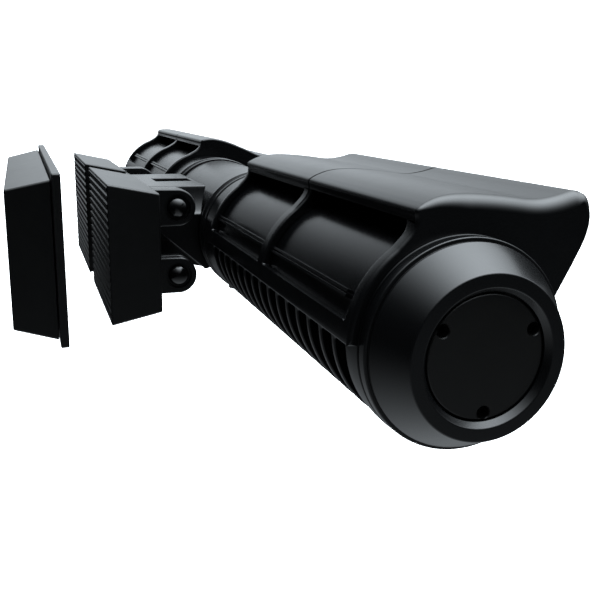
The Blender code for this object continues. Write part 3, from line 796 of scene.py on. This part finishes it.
def tapered(xs, ys, half_zs, corner=BLOCK_CORNER, edge=BLOCK_EDGE, steps=3):
    """Block whose section changes along Y, with rounded corners and a rounded far rim."""

    def ring(t, inset):
        x0 = xs[0][0] + (xs[1][0] - xs[0][0]) * t + inset
        x1 = xs[0][1] + (xs[1][1] - xs[0][1]) * t - inset
        half = half_zs[0] + (half_zs[1] - half_zs[0]) * t - inset
        plan = [(x0, -half), (x1, -half), (x1, half), (x0, half)]
        y = ys[0] + (ys[1] - ys[0]) * t
        return [(px, y, pz) for px, pz in rounded(plan, max(corner - inset, LIP), 4)]

    depth = abs(ys[1] - ys[0])
    rings = [ring(0, LIP), ring(LIP / depth, 0)]
    for k in range(steps + 1):
        phi = math.radians(90 * k / steps)
        rings.append(ring(1 - edge * (1 - math.sin(phi)) / depth, edge * (1 - math.cos(phi))))
    return loft(rings)


def make_wet_block(word, side):
    xs = (BLOCK_X, (BLOCK_X[0] + 0.0006, BLOCK_X[1] - 0.0006))
    case = raw(f"{word}_wet_case", tapered(xs, BLOCK_Y, BLOCK_HALF_Z), side)
    half = BLOCK_HALF_Z[0] - PAD_INSET
    pad_x = (BLOCK_X[0] + PAD_INSET, BLOCK_X[1] - PAD_INSET)
    seat = PAD_BACK + GAP
    pocket_x = (pad_x[0] - OVERLAP, pad_x[1] + OVERLAP)
    pocket_z = (-half - OVERLAP, half + OVERLAP)
    carve(case, block(pocket_x, (BLOCK_Y[0] - 0.001, seat), pocket_z), side=side)
    magnet_room = block((0.0110, 0.0660), (seat - 0.001, 0.0125), (-0.015, 0.015))
    carve(case, magnet_room, side=side)
    for level, height in EAR_LEVELS:
        ear = raw("ear", soft_prism(ear_outline(BLOCK_Y[1] - 0.0010, height), EAR_X, 0.0006, 3))
        carve(ear, ear_hole(DAMPER_HOLE_R, (0.040, 0.050), height))
        carve(ear, ear_hole(POCKET_R, (EAR_X[1] - POCKET_DEPTH, 0.050), height))
        bm = bmesh.new()
        bm.from_mesh(ear.data)
        bpy.data.objects.remove(ear)
        attach(case, bm, side)
    dress(case, LOOKS["case"], "holder", [f"{word}_magnet_case"])
    for level, height in EAR_LEVELS:
        make_damper(word, level, side, height)

    pitch = 2 * half / PAD_RIBS
    outline = []
    for i in range(PAD_RIBS):
        foot = -half + i * pitch
        outline += [(PAD_GROOVE, foot + 0.10 * pitch), (0, foot + 0.28 * pitch), (0, foot + 0.72 * pitch),
                    (PAD_GROOVE, foot + 0.90 * pitch)]
    outline = rounded(outline, 0.0002, 2) + [(PAD_BACK, half), (PAD_BACK, -half)]
    pad = raw(f"{word}_grip_pad", prism(outline, pad_x), side)
    dress(pad, LOOKS["pad"], "holder", [f"{word}_pad"])


def make_dry_side():
    low, high = FLANGE
    corner = 0.0006
    plan = rounded([(low.x, low.z), (high.x, low.z), (high.x, high.z), (low.x, high.z)], corner, 4)
    rings = []
    for y, inset in ((high.y, LIP), (high.y - LIP, 0), (low.y + LIP, 0), (low.y, LIP)):
        rings.append([(x - math.copysign(inset, x), y, z - math.copysign(inset, z)) for x, z in plan])
    flange = raw("outer_flange", loft(rings))
    dress(flange, LOOKS["rubber"], "dry_side", ["dry_flange"])
    xs = tuple((-half, half) for half in DRY_HALF_X)
    ys = (low.y - GAP, DRY_CASE[0].y)
    shell = tapered(xs, ys, DRY_HALF_Z)
    case = raw("outer_case", moved(shell, (0, 0, -DRY_DROP)))
    for side in (1, -1):
        magnet_room = block((0.0060, 0.0640), (-0.0245, 0), (-0.0160, 0.0160))
        carve(case, magnet_room, side=side)
    dress(case, LOOKS["case"], "dry_side", ["dry_magnet_case"])


def dress_cad():
    """Every CAD node gets its slot's material."""
    slots = {part["node"]: part["material_slot"] for part in frame["record"]["subparts"]}
    for name, obj in frame["nodes"].items():
        obj.data.materials.clear()
        obj.data.materials.append(LOOKS[slots[name]])


# Camera, floor and light


def make_camera():
    """The photo's camera, worked out from the object's parallel edges and circles."""
    focal_mm, place = 48.91, (0.30395, -0.02214, 0.04388)
    lens = bpy.data.cameras.new("camera")
    lens.sensor_width = 36.0
    lens.lens = focal_mm
    lens.clip_start = 0.01
    lens.clip_end = 60.0
    camera = bpy.data.objects.new("camera", lens)
    bpy.context.scene.collection.objects.link(camera)
    turn = Matrix(((0.3197, -0.2289, 0.9194), (0.9474, 0.0632, -0.3137), (0.0138, 0.9714, 0.2371)))
    camera.matrix_world = Matrix.Translation(place) @ turn.to_4x4()
    bpy.context.scene.camera = camera


def make_stage():
    """Pale floor and backdrop that the camera sees, kept out of the reflections."""
    paper = bpy.data.materials.new("white_paper")
    paper.use_nodes = True
    shader = paper.node_tree.nodes["Principled BSDF"]
    shader.inputs["Base Color"].default_value = (0.9, 0.9, 0.9, 1)
    shader.inputs["Roughness"].default_value = 1.0
    shader.inputs["Emission Color"].default_value = (1, 1, 1, 1)
    shader.inputs["Emission Strength"].default_value = 1.0
    floor_z, floor_r, backdrop_r = -0.6, 12.0, 14.0
    bm = bmesh.new()
    bmesh.ops.create_circle(bm, cap_ends=True, segments=96, radius=floor_r)
    floor = raw("floor", moved(bm, (0, 0, floor_z)))
    bm = bmesh.new()
    bmesh.ops.create_uvsphere(bm, u_segments=64, v_segments=32, radius=backdrop_r)
    backdrop = raw("backdrop", bm)
    for obj in (floor, backdrop):
        obj.data.materials.append(paper)
        obj.visible_glossy = False
        obj.visible_diffuse = False
        obj.visible_transmission = False
        obj.visible_shadow = False


def make_light():
    """World light: a bright patch overhead, a low white screen past the far end and a faint glow below."""
    patch_way, patch_power, patch_strength = (0, 0.300, 0.954), 4.2, 7.4
    screen_power, ambient = 4.0, 0.014
    world = bpy.data.worlds.new("studio")
    bpy.context.scene.world = world
    world.use_nodes = True
    tree = world.node_tree
    place = tree.nodes.new("ShaderNodeTexCoord")
    split = tree.nodes.new("ShaderNodeSeparateXYZ")
    tree.links.new(place.outputs["Generated"], split.inputs[0])
    lean = tree.nodes.new("ShaderNodeVectorMath")
    lean.operation = 'DOT_PRODUCT'
    lean.inputs[1].default_value = patch_way
    tree.links.new(place.outputs["Generated"], lean.inputs[0])
    above = math_node(tree, 'MAXIMUM', lean.outputs["Value"], 0.0)
    below = math_node(tree, 'MINIMUM', split.outputs["Z"], 0.0)
    overhead = math_node(tree, 'MULTIPLY', math_node(tree, 'POWER', above, patch_power), patch_strength)
    far_side = math_node(tree, 'MAXIMUM', math_node(tree, 'MULTIPLY', split.outputs["X"], -1.0), 0.0)
    screen = math_node(tree, 'POWER', far_side, screen_power)
    for low, high, to_low, to_high, key in ((-0.32, 0.0, 0.0, 1.1, "Y"), (-0.01, 0.06, 0.0, 1.0, "Z"),
                                            (0.40, 0.60, 1.0, 0.0, "Z")):
        window = spread(tree, split.outputs[key], low, high, to_low, to_high)
        screen = math_node(tree, 'MULTIPLY', screen, window)
    lift = math_node(tree, 'MULTIPLY', math_node(tree, 'MULTIPLY', below, below),
                     spread(tree, split.outputs["X"], -1.0, 0.0, 0.9, 0.8))
    upper = math_node(tree, 'ADD', overhead, screen)
    glow = math_node(tree, 'ADD', upper, math_node(tree, 'ADD', lift, ambient))
    back = tree.nodes["Background"]
    back.inputs["Color"].default_value = (0.90, 0.98, 1.04, 1)
    tree.links.new(glow, back.inputs["Strength"])
    bpy.context.scene.view_settings.view_transform = 'Standard'


dress_cad()
make_motor()
for word, side in (("near", 1), ("far", -1)):
    make_grille(word, side)
    make_hood(word, side)
    make_guard(word, side)
    make_collar(word, side)
    make_cap(word, side)
    make_wet_block(word, side)
make_cradle()
make_dry_side()
make_camera()
make_stage()
make_light()
